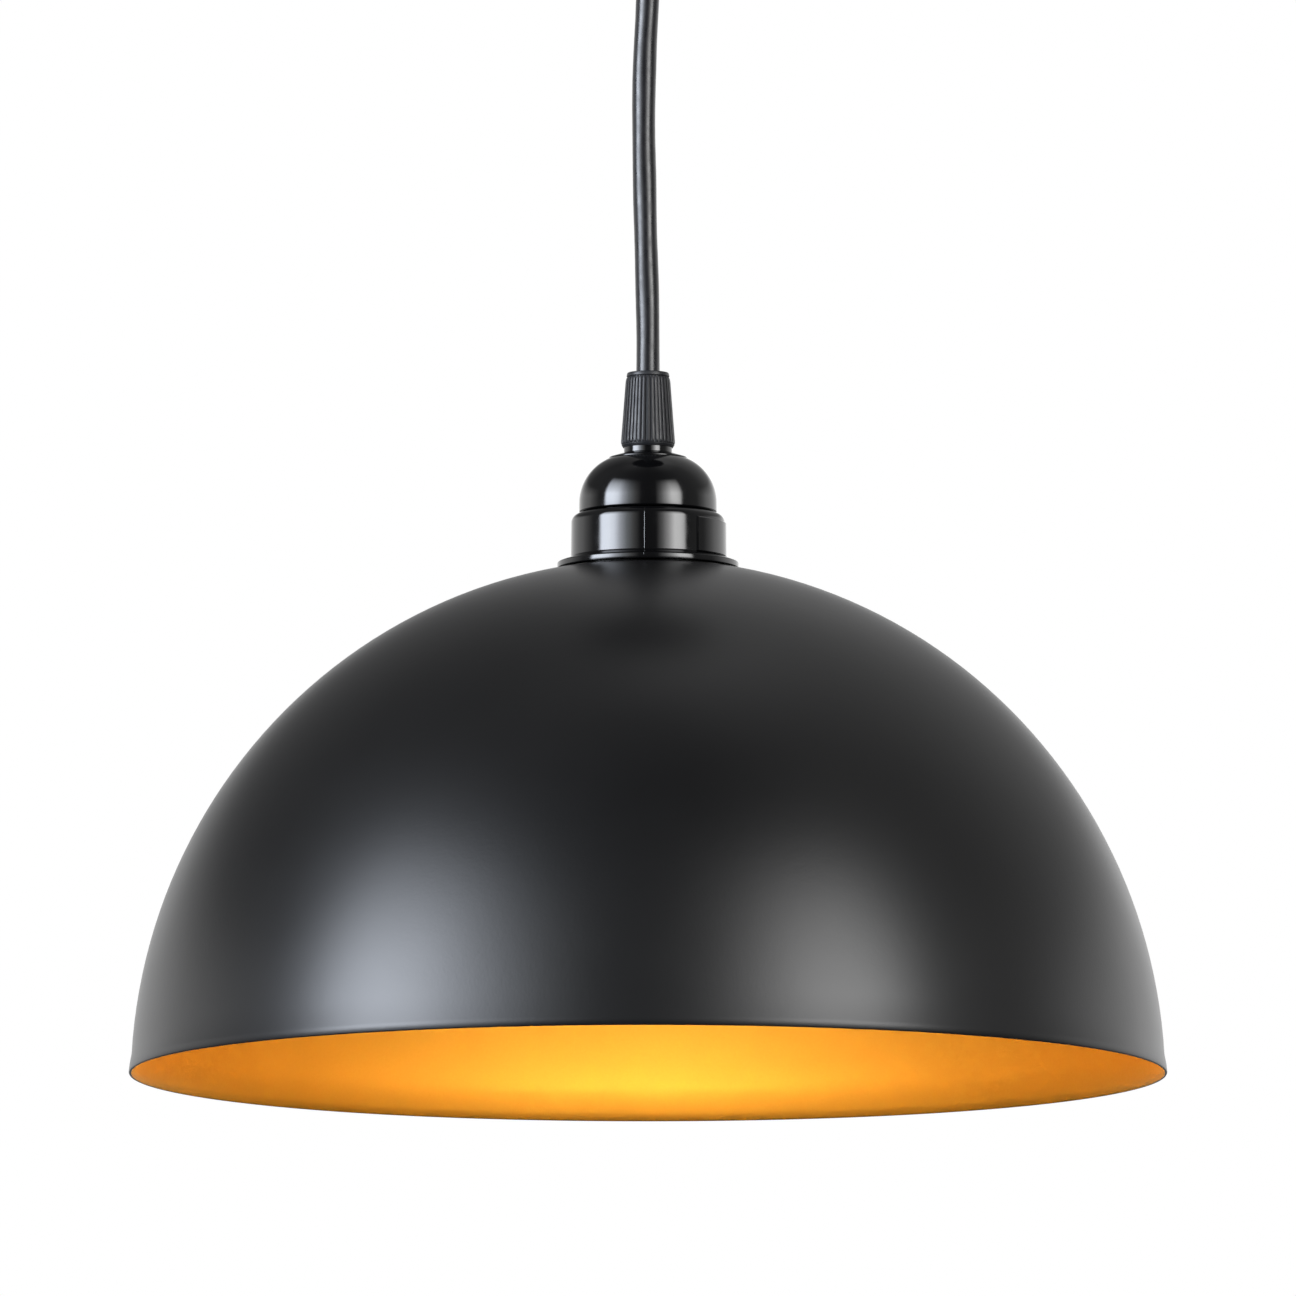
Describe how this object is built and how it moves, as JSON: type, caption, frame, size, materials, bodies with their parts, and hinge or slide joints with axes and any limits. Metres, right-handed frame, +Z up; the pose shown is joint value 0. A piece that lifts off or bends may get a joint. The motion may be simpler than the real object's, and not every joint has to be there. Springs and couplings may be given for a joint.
{
  "type": "pendant ceiling light",
  "caption": "Pendant ceiling light: black dome shade with gold inside on a screw-ring E27 holder, ribbed cord grip, round flex, cup canopy and bracket, with bulb.",
  "frame": {"origin": "middle of the ceiling face, where the bracket and the canopy's rim meet the ceiling", "axes": "+Z up into the ceiling, with the lamp hanging along -Z; +X along the bracket's length, through the two ceiling screw holes"},
  "size_m": [0.3, 0.3, 0.37],
  "materials": {
    "zinc_plated_steel": "bright zinc plate, satin",
    "brass": "machined and pressed brass, slightly dull",
    "terminal_nylon": "moulded natural nylon",
    "canopy_paint": "black powder coat, satin",
    "grip_plastic": "moulded black nylon, satin",
    "cord_sheath": "smooth black PVC sheath, semi-gloss",
    "core_brown": "brown PVC core insulation",
    "core_blue": "blue PVC core insulation",
    "seal_rubber": "black rubber",
    "holder_black": "moulded black phenolic, high gloss",
    "insert_white": "moulded white insulator, smooth",
    "shade_paint": "satin black powder coat outside, satin gold lacquer inside",
    "bulb_cap_metal": "pressed nickel-plated cap, satin",
    "bulb_insulator_black": "black glass insulator",
    "bulb_housing_white": "moulded white plastic",
    "bulb_opal": "opal diffuser, lit warm white",
    "circuit_board": "circuit board with small components"
  },
  "bodies": {
    "mount": {"ceiling_bracket": "zinc_plated_steel", "earth_screw": "brass", "terminal_block": "terminal_nylon", "terminal_barrels": "brass", "terminal_screws": "zinc_plated_steel", "canopy": "canopy_paint", "canopy_screws": "zinc_plated_steel", "gland_body": "grip_plastic", "gland_nut": "zinc_plated_steel", "gland_collet": "grip_plastic", "gland_cap": "grip_plastic", "flex_tail": "cord_sheath", "tail_live": "core_brown", "tail_neutral": "core_blue"},
    "seal": {"gland_seal": "seal_rubber"},
    "cord": {"flex": "cord_sheath"},
    "lamp": {"grip_cap": "grip_plastic", "grip_collet": "grip_plastic", "grip_body": "grip_plastic", "grip_nut": "zinc_plated_steel", "flex_end": "cord_sheath", "core_live": "core_brown", "core_neutral": "core_blue", "holder_cap": "holder_black", "holder_shell": "holder_black", "holder_insert": "insert_white", "holder_terminals": "brass", "holder_terminal_screws": "zinc_plated_steel", "contact_rivets": "brass", "centre_contact": "brass", "screw_shell": "brass"},
    "shade": {"shade": "shade_paint"},
    "ring": {"shade_ring": "holder_black"},
    "bulb_base": {"bulb_contact": "bulb_cap_metal", "bulb_insulator": "bulb_insulator_black"},
    "bulb": {"bulb_cap": "bulb_cap_metal", "bulb_housing": "bulb_housing_white", "bulb_globe": "bulb_opal", "led_board": "circuit_board", "driver_board": "circuit_board"}
  },
  "joints": [
    {"name": "swing_fore_aft", "type": "hinge", "parent": "mount", "child": "seal", "pos_m": [0, 0, -0.048], "axis": [1, 0, 0], "range_deg": [-15, 15]},
    {"name": "swing_sideways", "type": "hinge", "parent": "seal", "child": "cord", "pos_m": [0, 0, -0.048], "axis": [0, 1, 0], "range_deg": [-15, 15]},
    {"name": "lamp_twist", "type": "hinge", "parent": "cord", "child": "lamp", "pos_m": [0, 0, -0.1655], "axis": [0, 0, 1], "range_deg": [-180, 180], "stiffness_Nm_per_rad": 0.02},
    {"name": "shade_drop", "type": "slide", "parent": "lamp", "child": "shade", "axis": [0, 0, -1], "range_m": [0, 0.015]},
    {"name": "ring_turn", "type": "hinge", "parent": "shade", "child": "ring", "pos_m": [0, 0, -0.2278], "axis": [0, 0, -1], "range_deg": [0, 2160]},
    {"name": "bulb_drop", "type": "slide", "parent": "lamp", "child": "bulb_base", "axis": [0, 0, -1], "range_m": [0, 0.02177]},
    {"name": "bulb_turn", "type": "hinge", "parent": "bulb_base", "child": "bulb", "pos_m": [0, 0, -0.2885], "axis": [0, 0, -1], "range_deg": [0, 2160]}
  ],
  "couplings": [
    {"joint": "ring_turn", "follows": "shade_drop", "rad_per_m": 2513.3},
    {"joint": "bulb_turn", "follows": "bulb_drop", "rad_per_m": 1731.4}
  ]
}
